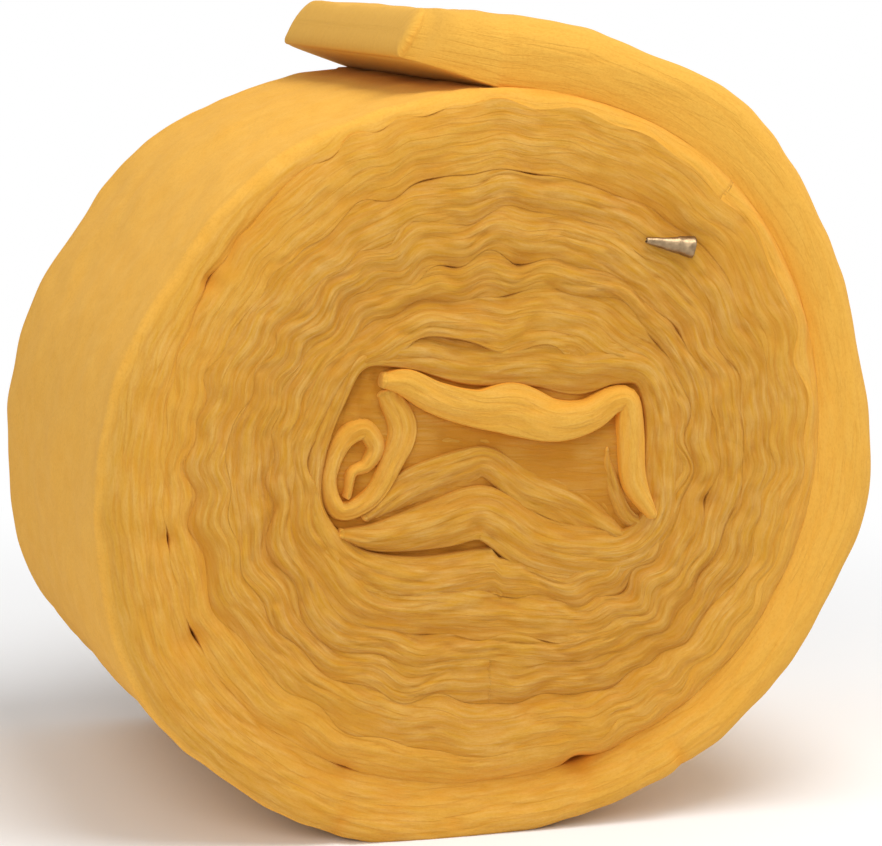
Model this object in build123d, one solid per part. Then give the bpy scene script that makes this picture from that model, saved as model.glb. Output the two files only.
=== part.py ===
from build123d import *
import math
import os

# Insulation roll: one blanket of yellow glass wool wound up and lying on its flattened underside.
# X is to the right of the end that faces the viewer, Y runs along the roll, Z is up. Millimetres.
# The winding is measured round its centre: 0 degrees is straight up and angles grow clockwise.

# The blanket and how it lies.
blanket_width = 381.0
centre_height = 238.0
rim_bevel = 8.0

# The blanket's loose end, lying on the roll at the top.
lap_angle = 3
tip_overhang = 20.0
tip_lean = 17.0
tip_lift = 15.0
corner_rounding = 10.0

# The groove between one turn and the next, as it shows on both ends.
groove_width = 3.0
groove_depth = 12.0
groove_lead = 8

# The slit that is left of the bore where the core has folded flat.
slit_width = 5.0

# The curled foil tab between two turns on the front end.
tab_length = 30.0
tab_mouth_radius = 6.5
tab_tip_radius = 1.2
tab_wall = 0.6
tab_sides = 10
tab_sink = 3.0
tab_slope = 9.0
tab_x = 113.0
tab_height = 360.0

# Radius of the outermost turn's outer face, every 20 degrees from the loose end at the top.
outer_step = 20
outer_radii = [261, 258, 264, 255, 250, 255, 247, 244, 241, 241,
               252, 255, 256, 240, 230, 218, 217, 214]

# Radius of each deeper turn's outer face, every 45 degrees, one row to a turn, down to the core.
inner_step = 45
inner_radii = [
    [216, 223, 215, 211, 206, 213, 200, 201],
    [208, 211, 203, 198, 189, 190, 183, 170],
    [168, 178, 184, 178, 155, 168, 161, 144],
    [142, 155, 164, 160, 134, 150, 133, 124],
    [115, 132, 147, 145, 112, 129, 107, 100],
    [90, 113, 128, 125, 87, 106, 97, 88],
    [62, 100, 112, 106, 60],
]

# The slit in the folded core, from left to right, as (across, up) from the winding's centre.
slit_line = [(-62, 34), (-40, 18), (5, 8), (55, 2), (86, 18)]

# The crease under the lower fold of the core, in the same way.
crease_line = [(-75, -46), (-40, -36), (0, -22), (25, -30), (55, -42)]


def point_at(angle, radius):
    """A point of the winding on the end face, across and up from its centre."""
    turn = math.radians(angle)
    return Vector(radius * math.sin(turn), radius * math.cos(turn))


def carried(face, start, length):
    """An outline of the end face, carried along the roll from a place on its axis."""
    end_face = Plane(origin=(0, start, centre_height), x_dir=(1, 0, 0), z_dir=(0, -1, 0))
    return extrude(end_face * face, -length)


def arc_pair(start, end, leaving, arriving):
    """Two arcs in one smooth line that leaves the start and reaches the end in given directions."""
    reach = end - start
    turning = 2 * (1 - leaving.dot(arriving))
    pull = reach.dot(leaving + arriving)
    length = (math.sqrt(pull**2 + turning * reach.dot(reach)) - pull) / turning
    first_corner = start + leaving * length
    second_corner = end - arriving * length
    joint = (first_corner + second_corner) / 2
    across = second_corner - first_corner
    return [TangentArc(start, joint, tangent=leaving), TangentArc(joint, end, tangent=across)]


def smooth_line(points):
    """Arcs without a kink through all points, each of which is passed along its neighbours' chord."""
    neighbours = zip([points[0]] + points, points[1:] + [points[-1]])
    ways = [(after - before).normalized() for before, after in neighbours]
    spans = zip(points, points[1:], ways, ways[1:])
    return [arc for start, end, leaving, arriving in spans for arc in arc_pair(start, end, leaving, arriving)]


def arcs(points):
    """One arc through each three points, the last of which starts the next arc."""
    return [ThreePointArc(*points[i:i + 3]) for i in range(0, len(points) - 2, 2)]


def ribbon(upper, lower):
    """The narrow face between two lines of arcs that run side by side."""
    ends = [Line(upper[0], lower[0]), Line(upper[-1], lower[-1])]
    return make_face(arcs(upper) + arcs(lower) + ends)


def rolled_foil(mouth_radius):
    """A cone with a few flat sides, such as a slip of foil makes when it curls up."""
    mouth = Pos(0, 0, -tab_length / 2) * RegularPolygon(mouth_radius, tab_sides)
    narrowing = (tab_mouth_radius - tab_tip_radius) * math.cos(math.pi / tab_sides)
    return extrude(mouth, tab_length, taper=math.degrees(math.atan(narrowing / tab_length)))


# The outermost turn's outline, with the wedge of air under the loose end still filled.
rim_points = [point_at(i * outer_step, radius) for i, radius in enumerate(outer_radii)]
lap_foot = point_at(lap_angle, inner_radii[0][0])
tip_top = rim_points[0] - Vector(tip_overhang, 0)
tip_foot = Vector(tip_top.X - tip_lean, lap_foot.Y + tip_lift)
cut_end = [Line(rim_points[-1], tip_foot), Line(tip_foot, tip_top), Line(tip_top, rim_points[0])]
filled_outline = make_face(smooth_line(rim_points) + cut_end)
tip_corners = [v for v in filled_outline.vertices() if min(abs(v.X - tip_top.X), abs(v.X - tip_foot.X)) < 1]
filled_outline = fillet(tip_corners, corner_rounding)
roll = carried(filled_outline, -blanket_width / 2, blanket_width)
end_edges = [e for e in roll.edges() if abs(e.center().Y) > blanket_width / 2 - 0.01]
roll = chamfer(end_edges, rim_bevel)

# The wedge of air under the loose end.
roll_top = Spline(rim_points[-2], rim_points[-1], lap_foot)
far_out = Vector(rim_points[-2].X, tip_foot.Y)
wedge_sides = [Line(lap_foot, tip_foot), Line(tip_foot, far_out), Line(far_out, rim_points[-2])]
air_wedge = make_face([roll_top] + wedge_sides)
roll -= carried(air_wedge, -blanket_width / 2, blanket_width)

# The weight of the roll has pressed its underside flat.
below_floor = (Align.CENTER, Align.CENTER, Align.MAX)
roll -= Box(3 * centre_height, 2 * blanket_width, centre_height, align=below_floor)

# One groove follows the winding inwards on each end, from under the loose end down to the core,
# and a short one marks the crease in the folded core.
radii = [radius for row in inner_radii for radius in row]
angles = [-groove_lead] + [i * inner_step for i in range(1, len(radii))]
groove_upper = [point_at(angle, radius) for angle, radius in zip(angles, radii)]
groove_lower = [point_at(angle, radius - groove_width) for angle, radius in zip(angles, radii)]
crease_lower = [(x, y - groove_width) for x, y in crease_line]
for groove in (ribbon(groove_upper, groove_lower), ribbon(crease_line, crease_lower)):
    roll -= carried(groove, -blanket_width / 2, groove_depth)
    roll -= carried(groove, blanket_width / 2 - groove_depth, groove_depth)

# What is left of the bore goes right through as a narrow slit.
slit_upper = [(x, y + slit_width) for x, y in slit_line]
slit = ribbon(slit_upper, slit_line)
roll -= carried(slit, -blanket_width / 2, blanket_width)

# The foil tab is a small curl lying in the front end, with its open mouth to the right.
tab_pose = Pos(tab_x, -blanket_width / 2 + tab_sink, tab_height) * Rot(0, tab_slope - 90, 0)
tab_outside = tab_pose * rolled_foil(tab_mouth_radius)
tab_hollow = tab_pose * Pos(0, 0, -tab_wall) * rolled_foil(tab_mouth_radius - tab_wall)
foil_tab = tab_outside - tab_hollow
roll -= tab_outside

# The part's origin is under the middle of its box, on the surface that it lies on.
box = roll.bounding_box()
to_origin = Pos(-box.center().X, 0, -box.min.Z)
blanket_roll = to_origin * roll
foil_tab = to_origin * foil_tab

os.makedirs("parts", exist_ok=True)
export_step(blanket_roll, "parts/blanket_roll.step")
export_step(foil_tab, "parts/foil_tab.step")
print("roll moved across by", round(-box.center().X, 3), "and up by", round(-box.min.Z, 3))
print("roll volume in litres:", round(blanket_roll.volume / 1e6, 3))
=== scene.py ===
import math
import bpy
import numpy as np
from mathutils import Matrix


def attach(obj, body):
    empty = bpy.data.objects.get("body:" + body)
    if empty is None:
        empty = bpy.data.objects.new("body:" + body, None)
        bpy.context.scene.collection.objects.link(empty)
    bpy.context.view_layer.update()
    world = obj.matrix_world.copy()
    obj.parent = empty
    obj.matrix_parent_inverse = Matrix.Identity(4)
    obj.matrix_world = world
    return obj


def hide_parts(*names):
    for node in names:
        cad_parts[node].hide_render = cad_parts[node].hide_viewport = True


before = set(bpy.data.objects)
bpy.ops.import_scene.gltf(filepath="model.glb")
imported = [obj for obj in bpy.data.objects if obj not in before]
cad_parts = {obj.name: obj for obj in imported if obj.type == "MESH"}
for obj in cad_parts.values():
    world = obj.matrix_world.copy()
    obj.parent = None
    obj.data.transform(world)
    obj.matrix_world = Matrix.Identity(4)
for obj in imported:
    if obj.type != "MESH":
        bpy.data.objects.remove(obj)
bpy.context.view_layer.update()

mm = 0.001
blanketWidth = 381        # along the roll, in mm

# The roll lies along Y with its front end at -Y. The winding is measured round its centre,
# 0 degrees straight up and growing clockwise as seen from the front. All lengths are in mm.
winding = {
    "centreHeight": 238,
    "outerStep": 20,      # degrees between the radii of the outermost turn
    "outerRadii": [261, 258, 264, 255, 250, 255, 247, 244, 241, 241,
                   252, 255, 256, 240, 230, 218, 217, 214],
    "innerStep": 45,      # degrees between the radii of the deeper turns, one row to a turn
    "innerRadii": [[216, 223, 215, 211, 206, 213, 200, 201],
                   [208, 211, 203, 198, 189, 190, 183, 170],
                   [168, 178, 184, 178, 155, 168, 161, 144],
                   [142, 155, 164, 160, 134, 150, 135, 124],
                   [115, 132, 147, 145, 112, 131, 122, 108],
                   [90, 119, 128, 125, 87, 107, 110, 86],
                   [64, 76, 120, 102, 60]],
    "crinkle": 3.2,       # how far the crinkles move a turn
    "crinkleLengths": (20, 64),
    "crinkleFrom": (380, 1000),
    "end": 2334,          # where the wound turns run into the folded core
}

# Where two turns stand apart: (degrees along the winding, spread in degrees, opening)
openings = [(600, 2.0, 2.6), (617, 1.6, 2.2), (662, 1.6, 1.6), (523, 2.5, 4.0), (565, 2, 1.6),
            (920, 35, 0.2), (1067, 3, 1.1), (1089, 3, 1.3), (1075, 28, 0.4), (1260, 40, 0.3),
            (1340, 30, 0.3), (1788, 3, 1.6), (1810, 3, 1.6), (1802, 24, 0.4), (1861, 3, 1.6),
            (1905, 2.2, 2.0), (1963, 2.5, 1.3), (1999, 2.5, 1.0), (2168, 4, 1.4), (2221, 4, 1.4),
            (2255, 26, 0.4), (2296, 3, 1.3), (2332, 4, 0.8)]
shutGap = 0.03            # half of the air between two turns everywhere else

# The blanket's loose end on top of the roll, as (across, up) from the winding's centre.
looseEnd = {"tipTop": (-18, 262), "tipFoot": (-35, 233), "lapAngle": 3, "degrees": 5, "steps": 20}

# The folded core. Each fold is a centre line as (across, up, thickness). Its sink is how far it lies
# behind the end of the roll, and its light is how pale it is, partly painted light, or below 0 how
# much painted shade it gets.
coreFolds = {
    "innermostTurn": {"sink": 0, "line": [
        (3, -75, 28), (-46, -78, 27), (-86, -65, 19), (-107, -34, 11), (-107, -1, 11), (-95, 32, 11),
        (-79, 58, 13), (-46, 61, 22), (-11, 53, 26), (31, 54, 34), (57, 50, 38), (80, 50, 28),
        (101, 43, 19), (112, 19, 23), (113, -14, 25), (111, -45, 21), (93, -65, 24), (63, -67, 31),
        (31, -60, 34), (6, -43, 32), (-8, -39, 32), (-32, -45, 29), (-67, -51, 18), (-90, -49, 7)]},
    "tongue": {"sink": -3, "light": 0.6, "line": [
        (-64, 44, 9), (-51, 42, 16), (-32, 32, 19), (-8, 25, 22), (15, 24, 31), (41, 16, 25),
        (63, 18, 19), (79, 27, 15), (89, 26, 14), (91, 6, 16), (92, -16, 15), (95, -28, 13),
        (104, -44, 6)]},
    "curl": {"sink": 1, "light": 0.35, "line": [
        (-62, 36, 12), (-53, 15, 17), (-60, -6, 13), (-73, -27, 11), (-92, -34, 10), (-99, -15, 9),
        (-91, 7, 11), (-77, 15, 12), (-69, 4, 11), (-75, -7, 8), (-84, -11, 6), (-87, -24, 4)]},
    "upperLayer": {"sink": 8, "line": [
        (-51, -7, 8), (-35, 7, 14), (-9, 5, 9), (13, 0, 9), (43, -11, 15), (66, -27, 17), (82, -48, 9),
        (88, -55, 5)]},
    "hookLayer": {"sink": 4, "line": [
        (77, -5, 4), (78, -16, 7), (87, -41, 9), (96, -50, 9), (105, -49, 7), (110, -43, 4)]},
    "middleLayer": {"sink": 3, "line": [
        (-75, -38, 7), (-49, -22, 21), (-15, -11, 21), (1, -9, 18), (24, -25, 21), (52, -37, 24),
        (76, -51, 14), (85, -56, 8)]},
    "fill": {"sink": 6.5, "light": -0.5, "line": [
        (-104, 4, 70), (-60, 0, 130), (0, -2, 146), (60, -6, 146), (108, -6, 100)]},
}

# How a fold is numbered along the winding, after the last wound turn, and drawn through its points.
foldPlace = {"start": 2400, "perPoint": 8, "steps": 30, "slack": 0.3}

# Each piece of blanket: the degrees it runs from and to, its step along the winding, columns across
# an end, columns along its outer face, how far its hidden faces swell to meet the next turn, and how
# round its own ends are. One piece starts just inside the one before it.
ribbons = {
    "blanket_outer": {"run": (-10, 405), "step": 3.6, "faceColumns": 34, "outerFlank": 44, "bulge": 0.6,
                      "rounding": 7},
    "blanket_middle": {"run": (404.6, 1260), "step": 2.8, "faceColumns": 19, "outerFlank": 2, "bulge": 0.6,
                       "rounding": 0},
    "blanket_core": {"run": (1259.4, 9999), "step": 2.2, "faceColumns": 21, "outerFlank": 2, "bulge": 0.8,
                     "rounding": 3},   # 9999 lies past the end of every fold
}
hiddenColumns = (0.004, 0.996)   # where a hidden face has its two columns, as shares of the roll's length

# The loops that close a rounded end, the degrees of a quarter circle that they cover, and the power,
# below 1, that squares its corners.
cap = {"loops": 9, "degrees": 87, "power": 0.7}

# Where the outermost turn gives way to the next, in degrees along the winding: its outer face gets
# covered and from then on carries painted shade, its rim moves inwards, and its underside leaves the
# air below the loose end and from there on carries painted shade.
handover = {"covered": (345, 375), "rim": (350, 395), "underside": (5, 20), "nearTip": 300}

# The second turn sits a little deeper where it comes out under the loose end: depth, and the degrees
# along the winding over which it sinks in and comes back.
sunken = {"depth": 7, "from": (342, 372), "until": (490, 610)}

# The soft valleys between the turns on both ends, and the slow swell of the ends as a whole.
valley = {"depth": 2.0, "swing": 1.4, "swingLengths": (25, 160), "least": 0.5, "sharpness": 1.8,
          "pits": 1.6, "folds": 1.6, "swell": 2.0, "swellLengths": (120, 600)}

# The layers that show on the blanket's ends. Broad and fine are their sizes along the winding, across
# the blanket and from end to end, and spread is the range of those sizes.
layering = {"broad": (70, 9.5, 20), "broadDepth": 1.5, "fine": (34, 4.4, 20), "fineDepth": 0.5,
            "creaseWidth": 0.4, "knobs": 0.4, "knobSize": 9, "spread": (0.7, 2.2), "endsApart": 60}
# How much calmer they are on the rims, once they drop by rimReach, at a turn's edges and in pale wool.
calmer = {"rim": 0.8, "rimReach": 8, "edge": 0.6, "pale": 0.75}
# Painted shade: how dark the wool is painted in a valley for each mm of depth, in a layer's crease, in
# the lip's creases, and for each mm that it lies behind the roll's end.
shading = {"valley": 0.13, "broad": 0.36, "fine": 0.16, "crease": 0.5, "level": 0.012}

# The lip at the bottom of the outermost turn stands forward a little and ends in creases.
lip = {"forward": 3, "from": (145, 150), "until": (200, 204),
       "creases": (148, 202.5), "creaseSpread": 1.1, "creaseDepth": 3}

# How round the roll's rims are: degrees, radius. The loose end's corners, front and back, are cut back
# by tipInset over tipReach.
softRim = {"radii": [(0, 22), (30, 15), (200, 14), (250, 26), (330, 28), (352, 18)],
           "tipReach": (80, 16), "tipInset": (64, 12)}

# Unevenness of the outermost turn's outer face: height and lengths of the large and the small swells.
lumps = {"large": 1.2, "largeLengths": (60, 170), "small": 0.4, "smallLengths": (16, 40),
         "until": (340, 400)}

# How pale and smooth the blanket's ends are, partly their smoother outer wool and partly painted light,
# palest on the outermost turn's top and right: degrees along the winding, share.
paleAndPaintedLight = [(-10, 1), (120, 0.85), (165, 0.4), (215, 0.25), (330, 0.3), (352, 0.7), (430, 0.6),
            (520, 0.4), (700, 0.25), (1100, 0)]


def smoothThrough(x, knots, values):
    # cubic Hermite curve through the knots, its slopes the mean of the chords beside each one
    knots, values = np.asarray(knots, float), np.asarray(values, float)
    slopes = np.gradient(values, knots)
    i = np.clip(np.searchsorted(knots, x, "right") - 1, 0, len(knots) - 2)
    h = knots[i + 1] - knots[i]
    t = (x - knots[i]) / h
    return ((1 + 2 * t) * (1 - t) ** 2 * values[i] + t * (1 - t) ** 2 * h * slopes[i]
            + t * t * (3 - 2 * t) * values[i + 1] + t * t * (t - 1) * h * slopes[i + 1])


def waves(points, lengths, count, seed):
    # smooth noise: a sum of sine waves in seeded directions, each with a length in the given range
    rng = np.random.default_rng(seed)
    total = np.zeros(points.shape[:-1])
    for k in range(count):
        way = rng.normal(size=points.shape[-1])
        way *= 2 * math.pi / (np.linalg.norm(way) * rng.uniform(*lengths))
        total += np.sin(points @ way + rng.uniform(0, 2 * math.pi))
    return total / math.sqrt(count)


def ramp(x, low, high):
    # 0 below low, 1 above high, smooth between
    t = np.clip((x - low) / (high - low), 0, 1)
    return t * t * (3 - 2 * t)


def quarterRound(share):
    # how far a quarter circle has dropped: 0 where share is 0, 1 where share is 1
    return 1 - np.sqrt(1 - share ** 2)


def windingRadius(turn):
    # the radius of the blanket's outer face after so many degrees of winding
    outer = winding["outerRadii"]
    inner = [radius for row in winding["innerRadii"] for radius in row]
    knots = [i * winding["outerStep"] for i in range(len(outer))]
    knots += [360 + i * winding["innerStep"] for i in range(len(inner))]
    return smoothThrough(turn, knots, outer + inner)


def windingPoint(turn, shift):
    # a point of that face moved outwards by shift, with crinkles that grow towards the core
    angle = np.radians(turn)
    way = np.stack([np.sin(angle), np.cos(angle)], -1)
    radius = windingRadius(turn)
    crinkle = waves(radius[:, None] * way, winding["crinkleLengths"], 14, 5)
    radius = radius + winding["crinkle"] * ramp(turn, *winding["crinkleFrom"]) * crinkle
    return (radius + shift)[:, None] * way


def opened(turn, sizes):
    # bumps along the winding where two turns stand apart, each as high as its own size times sizes
    total = np.zeros(np.shape(turn))
    for centre, spread, size in openings:
        total = total + size * sizes * np.exp(-((turn - centre) / spread) ** 2)
    return total


def gapAt(turn):
    # half of the air between two turns: hardly any but at the openings
    return shutGap + opened(turn, 0.5)


def valleyAt(turn):
    # how deep the soft valley between two turns is on the roll's ends
    swing = waves(np.asarray(turn)[:, None], valley["swingLengths"], 10, 34)
    depth = valley["depth"] + valley["swing"] * swing
    return np.clip(depth, valley["least"], None) + opened(turn, valley["pits"])


def levelAt(turn):
    # how far behind the roll's end two turns meet: slow swells, the sunken stretch and the lip
    sink = sunken["depth"] * ramp(turn, *sunken["from"]) * (1 - ramp(turn, *sunken["until"]))
    proud = lip["forward"] * ramp(turn, *lip["from"]) * (1 - ramp(turn, *lip["until"]))
    swell = valley["swell"] * waves(np.asarray(turn)[:, None], valley["swellLengths"], 8, 33)
    return sink - proud + swell


def lightAt(turn):
    # how pale the blanket's ends are, partly painted light, straight between the places in the list
    return np.interp(turn, *np.transpose(paleAndPaintedLight))


# A strip is a run of blanket as rows of: outer face (across, up), inner face (across, up), place along
# the winding in degrees, how far its outer and its inner edge lie behind the roll's end, paleness
# (partly painted light).

def turnStrip(start, end):
    # the wound blanket between two places along the winding
    turn = np.linspace(start, end, int((end - start) * 2))
    outer, inner = windingPoint(turn, -gapAt(turn)), windingPoint(turn + 360, gapAt(turn + 360))
    return np.column_stack([outer, inner, turn, levelAt(turn), levelAt(turn + 360), lightAt(turn)])


def foldStrip(fold):
    # a fold: its centre line through the points, and half its thickness to each side
    points = fold["line"]
    at = np.linspace(0, len(points) - 1, len(points) * foldPlace["steps"])
    x, y, thick = (smoothThrough(at, np.arange(len(points)), [p[k] for p in points]) for k in range(3))
    centre = np.stack([x, y], -1)
    way = np.gradient(centre, axis=0)
    way /= np.linalg.norm(way, axis=1)[:, None]
    side = np.stack([-way[:, 1], way[:, 0]], -1) * (thick[:, None] / 2 - foldPlace["slack"])
    turn = foldPlace["start"] + at * foldPlace["perPoint"]
    sink, light = (np.full(len(at), fold.get(key, 0)) for key in ("sink", "light"))
    return np.column_stack([centre + side, centre - side, turn, sink, sink, light])


def looseStrip():
    # the loose end: straight from its cut end to where it lies down on the roll
    share = np.linspace(0, 1, looseEnd["steps"])[:, None]
    lap = np.array([looseEnd["lapAngle"]] * 2)
    top, foot = windingPoint(lap, 0)[:1], windingPoint(lap + 360, gapAt(lap + 360))[:1]
    outer = np.array([looseEnd["tipTop"]]) * (1 - share) + top * share
    inner = np.array([looseEnd["tipFoot"]]) * (1 - share) + foot * share
    turn = looseEnd["lapAngle"] - looseEnd["degrees"] * (1 - share)
    return np.column_stack([outer, inner, turn, np.zeros((len(share), 2)), lightAt(turn)])[:-1]


def evenSteps(strip, step, start, end):
    # the strip's rows at equal steps along the line half-way between its two faces, from one place
    # along the winding to another
    middle = (strip[:, :2] + strip[:, 2:4]) / 2
    along = np.concatenate([[0], np.cumsum(np.linalg.norm(np.diff(middle, axis=0), axis=1))])
    first, last = np.interp([start, end], strip[:, 4], along)
    at = np.linspace(first, last, int((last - first) / step) + 2)
    return np.stack([np.interp(at, along, column) for column in strip.T], -1), at


def ribbonPoints(strip, along, grid, outermost):
    # one closed loop round the blanket's section at every step along it: front end, outer face, back
    # end, inner face. An end lies behind the roll's end by the sum of its valleys, its level, the
    # roll's rounded rim, the loose end's cut corner and its layers
    outer, inner = strip[:, :2], strip[:, 2:4]
    turn, outerLevel, innerLevel, light = strip[:, 4:].T
    middle, half = (outer + inner) / 2, np.linalg.norm(outer - inner, axis=1)[:, None] / 2
    way = (outer - inner) / (2 * half)
    columns, outerCount = grid["faceColumns"], grid["outerFlank"]
    t = np.sin(np.linspace(-math.pi / 2, math.pi / 2, columns))[None, :]   # -1 inner edge, 1 outer edge
    across = t * half
    covered = ramp(turn, *handover["covered"])[:, None]   # 0 where the turn's outer face is the roll's own
    valleys = (np.clip(t, 0, 1) ** valley["sharpness"] * valleyAt(turn)[:, None] * covered
               + np.clip(-t, 0, 1) ** valley["sharpness"] * valleyAt(turn + 360)[:, None])
    isFold = (turn >= foldPlace["start"])[:, None]
    folded = valley["folds"] * np.abs(t) ** valley["sharpness"] * isFold
    creased = sum(np.exp(-((turn - place) / lip["creaseSpread"]) ** 2) for place in lip["creases"])[:, None]
    creased = creased * np.clip(t + 0.6, 0, 1)   # they fade towards the inner edge
    level = (outerLevel[:, None] * (1 + t) + innerLevel[:, None] * (1 - t)) / 2
    level = level + lip["creaseDepth"] * creased
    # the roll's rims are rounded as a whole: how much wool lies outside this turn, and how deep in it
    cover = windingRadius(np.clip(turn, 0, None) % 360) - windingRadius(turn)
    cover = cover * ramp(turn, *handover["rim"])
    rimRadius = np.interp(turn % 360, *np.transpose(softRim["radii"]))[:, None]
    wrap = rimRadius * quarterRound(np.clip(1 - (cover[:, None] + half * (1 - t)) / rimRadius, 0, 1))
    calm = ((1 - calmer["rim"] * np.clip(wrap / calmer["rimReach"], 0, 1))
            * (1 - calmer["edge"] * np.abs(t) ** 4) * (1 - calmer["pale"] * light[:, None]))
    faces, shades = [], []
    for end in (0, 1):
        nearTip = np.clip(1 - along / softRim["tipReach"][end], 0, 1) * (turn < handover["nearTip"])
        tip = (softRim["tipInset"][end] * quarterRound(nearTip))[:, None]
        place = np.stack([np.broadcast_to(along[:, None], across.shape), across,
                          np.full(across.shape, float(layering["endsApart"] * end))], -1)
        broad, fine = (waves(place / layering[scale], layering["spread"], 18, seed)
                       for scale, seed in (("broad", 31), ("fine", 35)))
        broad, fine = (np.exp(-(height / layering["creaseWidth"]) ** 2) for height in (broad, fine))
        knobs = waves(place / layering["knobSize"], layering["spread"], 14, 32)
        relief = layering["broadDepth"] * broad + layering["fineDepth"] * fine - layering["knobs"] * knobs
        faces.append(valleys + folded + level + wrap + tip + calm * relief)
        # painted shade: darker in the valleys, in the layers' and the lip's creases, where the wool lies
        # deeper, and in folds whose light is below 0
        layers = shading["broad"] * broad + shading["fine"] * fine
        shades.append(shading["valley"] * valleys + calm * layers + shading["crease"] * creased
                      + shading["level"] * level + np.clip(-light, 0, 1)[:, None])
    front, back = -blanketWidth / 2 + faces[0], (blanketWidth / 2 - faces[1])[:, ::-1]
    hidden = np.array([hiddenColumns])
    outerShare = (np.arange(outerCount) + 1)[None, :] / (outerCount + 1) if outermost else hidden
    outerY = front[:, -1:] * (1 - outerShare) + back[:, :1] * outerShare
    innerY = back[:, -1:] * (1 - hidden) + front[:, :1] * hidden
    outerReach = np.broadcast_to(half + (0 if outermost else grid["bulge"]), outerY.shape)
    innerReach = np.broadcast_to(-half - grid["bulge"], innerY.shape)
    reach = np.concatenate([across, outerReach, across[:, ::-1], innerReach], 1)
    y = np.concatenate([front, outerY, back, innerY], 1)
    points = np.stack([middle[:, None, 0] + reach * way[:, None, 0], y,
                       middle[:, None, 1] + reach * way[:, None, 1]], -1)
    if outermost:
        # its outer face is slightly uneven, and its rims wander a little
        lift = (lumps["large"] * waves(points, lumps["largeLengths"], 16, 41)
                + lumps["small"] * waves(points, lumps["smallLengths"], 16, 42))
        lift *= np.clip((reach / half + 0.2) / 1.2, 0, 1) * (1 - ramp(turn, *lumps["until"]))[:, None]
        points[..., 0] += lift * way[:, None, 0]
        points[..., 2] += lift * way[:, None, 1]
    # the wool's own coordinates: along the blanket, across its section, and which side it is
    part = np.repeat([0, 1, 2, 3], [columns, outerY.shape[1], columns, len(hiddenColumns)])
    section = np.where(part % 2 == 0, reach, np.where(part == 1, 30, -30) + y)
    fibre = np.stack([np.broadcast_to(along[:, None], y.shape), section, y * 0 + part], -1)
    # painted shade on faces hidden between turns: the outermost turn's outer face once it is covered, and
    # every inner face but the loose end's underside; all of it makes one painted-shade mask
    outerShade = np.broadcast_to(covered, outerY.shape)
    innerShade = np.broadcast_to(ramp(turn, *handover["underside"])[:, None], innerY.shape)
    paintedShade = np.clip(np.concatenate([shades[0], outerShade, shades[1][:, ::-1], innerShade], 1), 0, 1)
    marks = np.stack([paintedShade, np.broadcast_to(light[:, None], y.shape)], -1)
    return points, fibre, marks, middle, half


def capRings(points, middle, half, toward, depth):
    # loops that shrink onto the middle of a cut end, with rounded corners and a nearly flat face
    rings = []
    for k in range(1, cap["loops"] + 1):
        angle = k / cap["loops"] * math.radians(cap["degrees"])
        share, push = math.cos(angle) ** cap["power"], depth * math.sin(angle) ** cap["power"]
        ring = points.copy()
        ring[:, [0, 2]] = middle + (points[:, [0, 2]] - middle) * share + toward * push
        ring[:, 1] *= 1 - half * (1 - share) / (blanketWidth / 2)
        rings.append(ring)
    return rings


def newObject(name, points, faces):
    # a mesh object that stands at the row's origin
    mesh = bpy.data.meshes.new(name)
    mesh.from_pydata(points, [], faces)
    thing = bpy.data.objects.new(name, mesh)
    bpy.context.collection.objects.link(thing)
    return thing


def ribbonMesh(name, strips):
    # a closed skin for every strip of blanket, all in one object
    grid = ribbons[name]
    start, end = grid["run"]
    allPoints, allFibre, allMarks, allFaces = [], [], [], []
    base = 0
    for strip in strips:
        even, along = evenSteps(strip, grid["step"], start, end)
        points, fibre, marks, middle, half = ribbonPoints(even, along, grid, start < 0)
        loops, fibres, shades = list(points), list(fibre), list(marks)
        ownStart, ownEnd = strip[0, 4] >= start, strip[-1, 4] <= end
        for which, depth in ((0, grid["rounding"] * ownStart), (-1, grid["rounding"] * ownEnd)):
            if depth:
                toward = middle[which] - middle[1 if which == 0 else -2]
                toward /= np.linalg.norm(toward)
                rings = capRings(points[which], middle[which], half[which, 0], toward, depth)
                flats = [fibre[which] + [0, 0, 4]] * cap["loops"]
                plains = [marks[which] * [0, 1]] * cap["loops"]
                if which == 0:
                    loops, fibres, shades = rings[::-1] + loops, flats + fibres, plains + shades
                else:
                    loops, fibres, shades = loops + rings, fibres + flats, shades + plains
        points = np.array(loops)
        rows, size = points.shape[:2]
        here = base + np.arange(rows - 1)[:, None] * size + np.arange(size)[None, :]
        after = base + np.arange(rows - 1)[:, None] * size + (np.arange(size)[None, :] + 1) % size
        allFaces += np.stack([here, here + size, after + size, after], -1).reshape(-1, 4).tolist()
        last = base + (rows - 1) * size
        allFaces += [list(range(base, base + size)), list(range(last + size - 1, last - 1, -1))]
        allPoints.append(points.reshape(-1, 3))
        allFibre.append(np.array(fibres).reshape(-1, 3))
        allMarks.append(np.array(shades).reshape(-1, 2))
        base += rows * size
    points = np.concatenate(allPoints) * mm
    points[:, 0] += xShift
    points[:, 2] += winding["centreHeight"] * mm
    points[:, 2] = np.maximum(points[:, 2], 0)   # the roll's weight presses its underside flat
    thing = newObject(name, points, allFaces)
    mesh = thing.data
    fibre = mesh.attributes.new("fibre", "FLOAT_VECTOR", "POINT")
    fibre.data.foreach_set("vector", np.concatenate(allFibre).ravel())
    # the painted-shade mask and the paleness, partly painted light, go onto the points
    for column, mark in enumerate(("paintedShade", "light")):
        values = np.ascontiguousarray(np.concatenate(allMarks)[:, column])
        mesh.attributes.new(mark, "FLOAT", "POINT").data.foreach_set("value", values)
    mesh.polygons.foreach_set("use_smooth", [len(face) == 4 for face in allFaces])   # the caps stay flat
    print(name, "triangles:", sum(len(face) - 2 for face in allFaces))
    return thing


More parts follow.
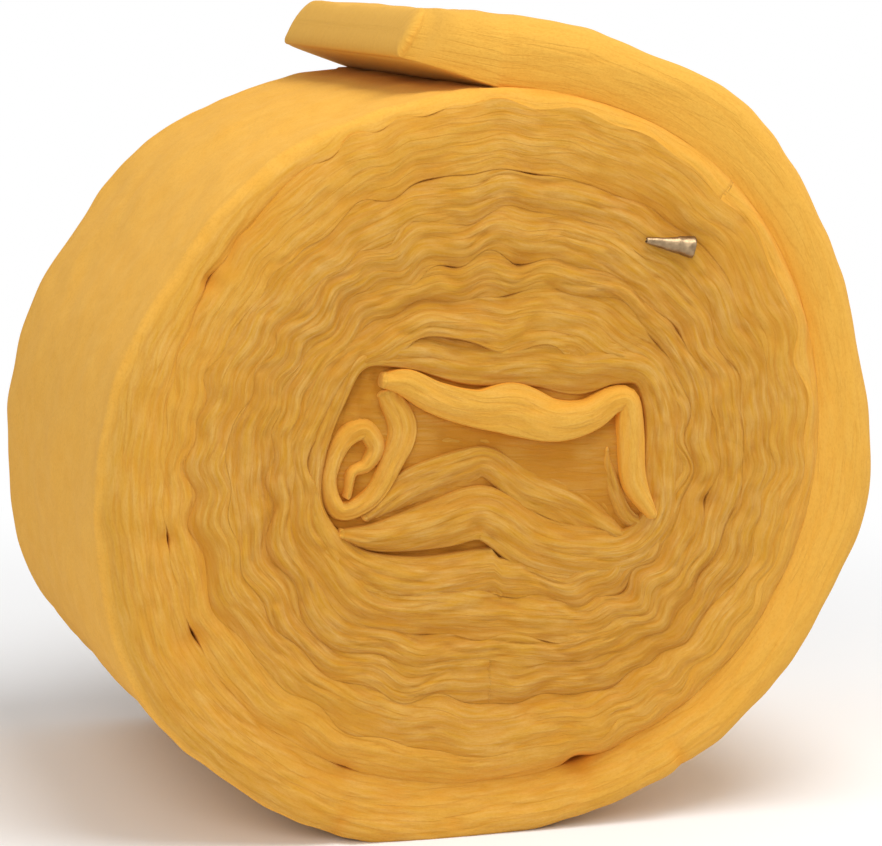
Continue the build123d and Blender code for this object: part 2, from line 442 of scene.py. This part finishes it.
# The row's origin is under the middle of the roll's box, which the winding's centre isn't quite.
rimLine = windingPoint(np.linspace(0, 352, 800), 0)
xShift = -(rimLine[:, 0].min() + rimLine[:, 0].max()) / 2 * mm

foldStrips = [foldStrip(fold) for fold in coreFolds.values()]
wholeStrip = np.concatenate([looseStrip(), turnStrip(looseEnd["lapAngle"], winding["end"]), foldStrips[0]])
blanketOuter = ribbonMesh("blanket_outer", [wholeStrip])
blanketMiddle = ribbonMesh("blanket_middle", [wholeStrip])
blanketCore = ribbonMesh("blanket_core", [wholeStrip] + foldStrips[1:])
print("wool done")

# The curl of foil: a cone of sheet, measured in mm, its wrap and slope in degrees.
foil = {"centre": (113, -191.5, 360), "length": 30, "mouth": 6.5, "tip": 1.2, "slope": 9,
        "wrapFrom": 200, "wrap": 430, "overlap": 0.55, "sheet": 0.25,
        "crumple": 0.25, "crumpleLengths": (7, 22), "ragged": 0.8, "raggedLengths": (1.2, 3.5),
        "rows": 48, "columns": 90}


def foilCurl(name):
    # a sheet of foil rolled into a cone: the radius grows along its length and a little with the
    # wrap so that the sheet overlaps itself, and creases shift it in and out
    rows, columns = foil["rows"], foil["columns"]
    along, around = np.meshgrid(np.linspace(0, 1, rows), np.linspace(0, 1, columns), indexing="ij")
    angle = np.radians(foil["wrapFrom"] + foil["wrap"] * around)
    ragged = foil["ragged"] * waves(angle[..., None], foil["raggedLengths"], 6, 62)
    sides = []
    for side in (0, 1):
        radius = foil["tip"] + (foil["mouth"] - foil["tip"]) * along + foil["overlap"] * around
        radius = radius - foil["sheet"] * side
        place = np.stack([along * foil["length"], radius * np.cos(angle), radius * np.sin(angle)], -1)
        crease = 1 - 2 * np.abs(waves(place, foil["crumpleLengths"], 10, 61))
        radius = radius + foil["crumple"] * (0.3 + 0.7 * along) * crease
        reach = along * foil["length"] + ragged * (along - 0.5) - foil["length"] / 2
        sides.append(np.stack([reach, radius * np.cos(angle), radius * np.sin(angle)], -1))
    number = np.arange(rows * columns).reshape(rows, columns)
    corners = [number[:-1, :-1], number[:-1, 1:], number[1:, 1:], number[1:, :-1]]
    outside = np.stack(corners, -1).reshape(-1, 4)
    inside = outside[:, ::-1] + rows * columns
    border = np.concatenate([number[0], number[1:, -1], number[-1, -2::-1], number[-2:0:-1, 0]])
    ahead = np.roll(border, -1)
    edge = np.stack([ahead, border, border + rows * columns, ahead + rows * columns], -1)
    points = np.concatenate([side.reshape(-1, 3) for side in sides])
    tilt = math.radians(foil["slope"])
    turned = np.stack([points[:, 0] * math.cos(tilt) + points[:, 2] * math.sin(tilt), points[:, 1],
                       points[:, 2] * math.cos(tilt) - points[:, 0] * math.sin(tilt)], -1)
    points = (turned + foil["centre"]) * mm + [xShift, 0, 0]
    thing = newObject(name, points, np.concatenate([outside, inside, edge]).tolist())
    thing.data.shade_smooth()
    return thing


foilPiece = foilCurl("foil_curl")
print("foil done")


def addNode(tree, kind, inputs=(), **settings):
    # one shader node; an input is a value, a colour, or another node's output to link
    node = tree.nodes.new(kind)
    for key, value in settings.items():
        setattr(node, key, value)
    for key, value in dict(inputs).items():
        if isinstance(value, bpy.types.NodeSocket):
            tree.links.new(value, node.inputs[key])
        else:
            node.inputs[key].default_value = value
    return node


def newMaterial(name):
    # a material with an empty node tree
    material = bpy.data.materials.new(name)
    material.use_nodes = True
    material.node_tree.nodes.clear()
    return material, material.node_tree


def fibreGroup():
    # masks for matted wool: layers along the winding, thin streaks, fine grain and broad patches.
    # Fibre is in mm along the blanket and across its section; Face is 1 on the roll's ends
    group = bpy.data.node_groups.new("Wool fibres", "ShaderNodeTree")
    kinds = {"Fibre": "NodeSocketVector", "Place": "NodeSocketVector", "Face": "NodeSocketFloat"}
    for name, kind in kinds.items():
        group.interface.new_socket(name, in_out="INPUT", socket_type=kind)
    for name in ("Layers", "Streaks", "Grain", "Patches", "Height"):
        group.interface.new_socket(name, in_out="OUTPUT", socket_type="NodeSocketFloat")
    given, out = group.nodes.new("NodeGroupInput"), group.nodes.new("NodeGroupOutput")
    fibre, place, face = (given.outputs[n] for n in kinds)

    def noise(vector, stretch, scale, detail, rough, warp=0.0):
        scaled = addNode(group, "ShaderNodeVectorMath", {0: vector, 1: stretch}, operation="MULTIPLY")
        return addNode(group, "ShaderNodeTexNoise", {"Vector": scaled.outputs[0], "Scale": scale,
                                                     "Detail": detail, "Roughness": rough,
                                                     "Distortion": warp}).outputs["Fac"]

    def combine(operation, a, b):
        return addNode(group, "ShaderNodeMath", {0: a, 1: b}, operation=operation).outputs[0]

    def blend(share, a, b):
        return addNode(group, "ShaderNodeMix", {0: share, 2: a, 3: b}).outputs[0]

    def weighted(a, shareOfA, b, shareOfB):
        return combine("ADD", combine("MULTIPLY", a, shareOfA), combine("MULTIPLY", b, shareOfB))

    perMm = (1000, 1000, 1000)
    endLayers = noise(fibre, (0.05, 0.42, 1.0), 1.0, 5, 0.62, 0.3)
    sideLayers = noise(fibre, (0.07, 0.045, 1.0), 1.0, 6, 0.62, 0.6)
    layers = blend(face, sideLayers, endLayers)
    endHair = noise(fibre, (0.35, 1.7, 1.0), 1.0, 3, 0.6, 0.4)
    sideHair = noise(fibre, (0.5, 0.9, 1.0), 1.0, 4, 0.6, 1.2)
    hair = blend(face, sideHair, endHair)
    speck = noise(place, perMm, 0.55, 2, 0.6)
    patches = noise(place, perMm, 0.028, 3, 0.5)
    # thin irregular lines along the winding, where a stretched noise passes its middle value
    swell = noise(fibre, (0.014, 0.13, 1.0), 1.0, 3, 0.5, 0.3)
    away = combine("ABSOLUTE", combine("SUBTRACT", swell, 0.5), 0.0)
    line = addNode(group, "ShaderNodeMapRange", {"Value": away, "From Min": 0.0, "From Max": 0.07,
                                                 "To Min": 1.0, "To Max": 0.0},
                   interpolation_type="SMOOTHSTEP").outputs[0]
    streaks = combine("MULTIPLY", line, face)
    grain = weighted(hair, 0.6, speck, 0.4)
    height = combine("SUBTRACT", weighted(layers, 0.6, grain, 0.4), combine("MULTIPLY", streaks, 0.35))
    results = {"Layers": layers, "Streaks": streaks, "Grain": grain, "Patches": patches, "Height": height}
    for name, value in results.items():
        group.links.new(value, out.inputs[name])
    return group


# The wool's colours: its outer face; its cut ends, darker partly as painted shade; the pale lip of the
# outermost turn, partly painted light; and painted shade where it lies deep: brown between the inner
# turns, a painted orange glow under the outermost.
wool = {
    "flank": (0.78, 0.39, 0.050, 1), "flankPale": (0.82, 0.44, 0.070, 1),
    "cut": (0.52, 0.255, 0.022, 1), "cutPale": (0.60, 0.35, 0.095, 1), "lip": (0.71, 0.385, 0.062, 1),
    "groove": (0.44, 0.165, 0.012, 1), "glow": (0.76, 0.30, 0.018, 1), "shadeStrength": 0.78,
    "bump": 0.45, "bumpHeight": 0.0014, "roughness": 0.95, "specular": 0.1,
    "sheen": 0.06, "sheenRoughness": 0.6, "sheenTint": (1.0, 0.82, 0.5, 1),
}


def woolMaterial(name):
    # wool: paler and darker layers on the outer face and the ends, faint streaks, and painted shade with a
    # painted orange glow in deep places
    material, tree = newMaterial(name)
    fibre = addNode(tree, "ShaderNodeAttribute", attribute_name="fibre").outputs["Vector"]
    # the painted-shade mask, and the paleness, partly painted light
    paintedShade = addNode(tree, "ShaderNodeAttribute", attribute_name="paintedShade").outputs["Fac"]
    light = addNode(tree, "ShaderNodeAttribute", attribute_name="light").outputs["Fac"]
    place = addNode(tree, "ShaderNodeTexCoord").outputs["Object"]

    def blend(share, a, b):
        return addNode(tree, "ShaderNodeMix", {0: share, 6: a, 7: b}, data_type="RGBA").outputs[2]

    def combine(operation, a, b=0.0):
        return addNode(tree, "ShaderNodeMath", {0: a, 1: b}, operation=operation).outputs[0]

    def stretch(value, low, high, bottom=0.0, top=1.0, kind="LINEAR"):
        return addNode(tree, "ShaderNodeMapRange", {"Value": value, "From Min": low, "From Max": high,
                                                    "To Min": bottom, "To Max": top},
                       interpolation_type=kind).outputs[0]

    # an end of the roll is where the surface faces along the roll
    normal = addNode(tree, "ShaderNodeNewGeometry").outputs["Normal"]
    facing = combine("ABSOLUTE", addNode(tree, "ShaderNodeSeparateXYZ", {0: normal}).outputs["Y"])
    face = stretch(facing, 0.25, 0.75, kind="SMOOTHSTEP")
    marks = addNode(tree, "ShaderNodeGroup", node_tree=fibreGroup())
    for key, value in (("Fibre", fibre), ("Place", place), ("Face", face)):
        tree.links.new(value, marks.inputs[key])
    names = ("Layers", "Streaks", "Grain", "Patches", "Height")
    layers, streaks, grain, patches, height = (marks.outputs[n] for n in names)

    flank = blend(stretch(layers, 0.30, 0.72), wool["flank"], wool["flankPale"])
    # partly the outer turn's smoother wool and partly painted light: where the paleness passes half, the
    # outer face and the loose end's cut face take the paler lip colour
    flank = blend(stretch(light, 0.5, 1.0), flank, wool["lip"])
    # the ends' darker cut colour is partly the cut wool's own tone and partly painted shade on the ends
    cut = blend(stretch(layers, 0.34, 0.68), wool["cut"], wool["cutPale"])
    cut = blend(stretch(patches, 0.38, 0.66, 0.0, 0.5), cut, wool["cut"])
    # the ends turn to the pale lip colour as the paleness grows, partly painted light
    colour = blend(face, flank, blend(light, cut, wool["lip"]))
    colour = blend(stretch(grain, 0.54, 0.36, 0.0, 0.22), colour, wool["groove"])
    faint = combine("MULTIPLY", streaks, stretch(light, 0.0, 1.0, 0.34, 0.08))
    colour = blend(faint, colour, wool["groove"])
    # painted shade in deep places, mixed in by the painted-shade mask: brown between the inner turns and a
    # painted orange glow under the pale outer turn
    shadeTones = blend(stretch(light, 0.0, 0.6), wool["groove"], wool["glow"])
    colour = blend(combine("MULTIPLY", paintedShade, wool["shadeStrength"]), colour, shadeTones)
    bump = addNode(tree, "ShaderNodeBump", {"Height": height, "Strength": wool["bump"],
                                            "Distance": wool["bumpHeight"]}).outputs[0]
    surface = addNode(tree, "ShaderNodeBsdfPrincipled", {
        "Base Color": colour, "Normal": bump, "Roughness": wool["roughness"],
        "Specular IOR Level": wool["specular"], "Sheen Weight": wool["sheen"],
        "Sheen Roughness": wool["sheenRoughness"], "Sheen Tint": wool["sheenTint"]}).outputs[0]
    addNode(tree, "ShaderNodeOutputMaterial", {0: surface})
    return material


# The foil's colours and roughness in its creases and on its smooth places: warm brown tints that paint
# in the wool's reflection, the darker one in the creases as painted shade.
foilLook = {"dark": (0.14, 0.085, 0.045, 1), "bright": (0.46, 0.33, 0.19, 1), "roughness": (0.30, 0.50),
            "creaseScale": 260.0, "bump": 0.5, "bumpHeight": 0.0006}


def foilMaterial(name):
    # bright metal tinted warm as a painted reflection of the wool, whose fine creases darken its tint as
    # painted shade and change its roughness
    material, tree = newMaterial(name)
    place = addNode(tree, "ShaderNodeTexCoord").outputs["Object"]
    creases = addNode(tree, "ShaderNodeTexNoise", {"Vector": place, "Scale": foilLook["creaseScale"],
                                                   "Detail": 4, "Roughness": 0.6}).outputs["Fac"]
    tint = addNode(tree, "ShaderNodeMix", {0: creases, 6: foilLook["dark"], 7: foilLook["bright"]},
                   data_type="RGBA").outputs[2]
    rough = addNode(tree, "ShaderNodeMapRange", {"Value": creases, "To Min": foilLook["roughness"][0],
                                                 "To Max": foilLook["roughness"][1]}).outputs[0]
    bump = addNode(tree, "ShaderNodeBump", {"Height": creases, "Strength": foilLook["bump"],
                                            "Distance": foilLook["bumpHeight"]}).outputs[0]
    surface = addNode(tree, "ShaderNodeBsdfPrincipled", {"Base Color": tint, "Roughness": rough,
                                                         "Metallic": 1.0, "Normal": bump}).outputs[0]
    addNode(tree, "ShaderNodeOutputMaterial", {0: surface})
    return material


woolFinish, foilFinish = woolMaterial("glass_wool"), foilMaterial("foil")
for piece in (blanketOuter, blanketMiddle, blanketCore):
    piece.data.materials.append(woolFinish)
    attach(piece, "root")
    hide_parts("blanket_roll")
foilPiece.data.materials.append(foilFinish)
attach(foilPiece, "root")
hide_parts("foil_tab")
print("materials done")

# The camera looks at the front end from its left and a little above, as the photograph does. The point
# aim, in metres, comes to the pixel aimAt.
view = {"azimuth": -16, "elevation": 8, "distance": 2.07, "lens": 140.3, "sensor": 36,
        "pixels": (882, 846), "aim": (0, -0.1905, 0.238), "aimAt": (490, 450)}
turnZ, rise = math.radians(view["azimuth"]), math.radians(view["elevation"])
back = np.array([math.sin(turnZ) * math.cos(rise), -math.cos(turnZ) * math.cos(rise), math.sin(rise)])
right = np.array([math.cos(turnZ), math.sin(turnZ), 0])
up = np.cross(back, right)
metresPerPixel = view["distance"] / (view["lens"] / view["sensor"] * view["pixels"][0])
aside, below = ((view["aimAt"][k] - view["pixels"][k] / 2) * metresPerPixel for k in (0, 1))
cameraData = bpy.data.cameras.new("camera")
cameraData.lens, cameraData.sensor_width, cameraData.clip_end = view["lens"], view["sensor"], 60
camera = bpy.data.objects.new("camera", cameraData)
target = np.array(view["aim"]) + [xShift, 0, 0] - right * aside + up * below
camera.location = target + back * view["distance"]
camera.rotation_euler = (math.radians(90 - view["elevation"]), 0, turnZ)
bpy.context.collection.objects.link(camera)
bpy.context.scene.camera = camera

# Round soft lamps: place and size in metres, power in watts, all aimed at the middle of the roll.
lamps = {"top_lamp": {"place": (0.4, -0.9, 2.6), "size": 1.6, "power": 44},
         "front_lamp": {"place": (-1.4, -2.6, 1.6), "size": 1.8, "power": 31},
         "right_lamp": {"place": (2.4, -0.6, 1.2), "size": 1.4, "power": 9}}
lampAim = (0, 0, 0.22)
for name, lamp in lamps.items():
    data = bpy.data.lights.new(name, "AREA")
    data.shape, data.size, data.energy = "DISK", lamp["size"], lamp["power"]
    thing = bpy.data.objects.new(name, data)
    thing.location = lamp["place"]
    away = np.array(lamp["place"]) - np.array(lampAim)
    leaning = math.acos(away[2] / np.linalg.norm(away))
    thing.rotation_euler = (leaning, 0, math.atan2(away[1], away[0]) + math.pi / 2)
    bpy.context.collection.objects.link(thing)

# A grey-white floor under a white background: fade is where the floor turns into the background, in
# metres from the roll's middle.
studio = {"ambient": 0.55, "background": 1.0, "floor": (0.86, 0.86, 0.86, 1), "fade": (0.45, 1.1),
          "halfFloor": 25}
world = bpy.data.worlds.new("studio")
bpy.context.scene.world = world
world.use_nodes = True
sky = world.node_tree
sky.nodes.clear()
rays = addNode(sky, "ShaderNodeLightPath").outputs
seen = rays["Is Camera Ray"]
for kind in ("Is Glossy Ray", "Is Transmission Ray"):
    seen = addNode(sky, "ShaderNodeMath", {0: seen, 1: rays[kind]}, operation="MAXIMUM").outputs[0]
strength = addNode(sky, "ShaderNodeMapRange", {"Value": seen, "To Min": studio["ambient"],
                                               "To Max": studio["background"]}).outputs[0]
sheet = addNode(sky, "ShaderNodeBackground", {"Color": (1, 1, 1, 1), "Strength": strength}).outputs[0]
addNode(sky, "ShaderNodeOutputWorld", {0: sheet})


def floorMaterial():
    # matt, fading into the background's plain white away from the roll and its shadow
    material, tree = newMaterial("floor")
    place = addNode(tree, "ShaderNodeTexCoord").outputs["Object"]
    reach = addNode(tree, "ShaderNodeVectorMath", {0: place}, operation="LENGTH").outputs["Value"]
    far = addNode(tree, "ShaderNodeMapRange", {"Value": reach, "From Min": studio["fade"][0],
                                               "From Max": studio["fade"][1]},
                  interpolation_type="SMOOTHSTEP").outputs[0]
    camera = addNode(tree, "ShaderNodeLightPath").outputs["Is Camera Ray"]
    share = addNode(tree, "ShaderNodeMath", {0: far, 1: camera}, operation="MULTIPLY").outputs[0]
    matt = addNode(tree, "ShaderNodeBsdfPrincipled", {"Base Color": studio["floor"], "Roughness": 0.9})
    glow = addNode(tree, "ShaderNodeEmission", {"Color": (1, 1, 1, 1), "Strength": studio["background"]})
    mix = addNode(tree, "ShaderNodeMixShader", {0: share, 1: matt.outputs[0], 2: glow.outputs[0]})
    addNode(tree, "ShaderNodeOutputMaterial", {0: mix.outputs[0]})
    return material


edge = studio["halfFloor"]
corners = [(-edge, -edge, 0), (edge, -edge, 0), (edge, edge, 0), (-edge, edge, 0)]
floor = newObject("floor", corners, [(0, 1, 2, 3)])
floor.data.materials.append(floorMaterial())
bpy.context.scene.view_settings.view_transform = "Standard"
print("studio done")
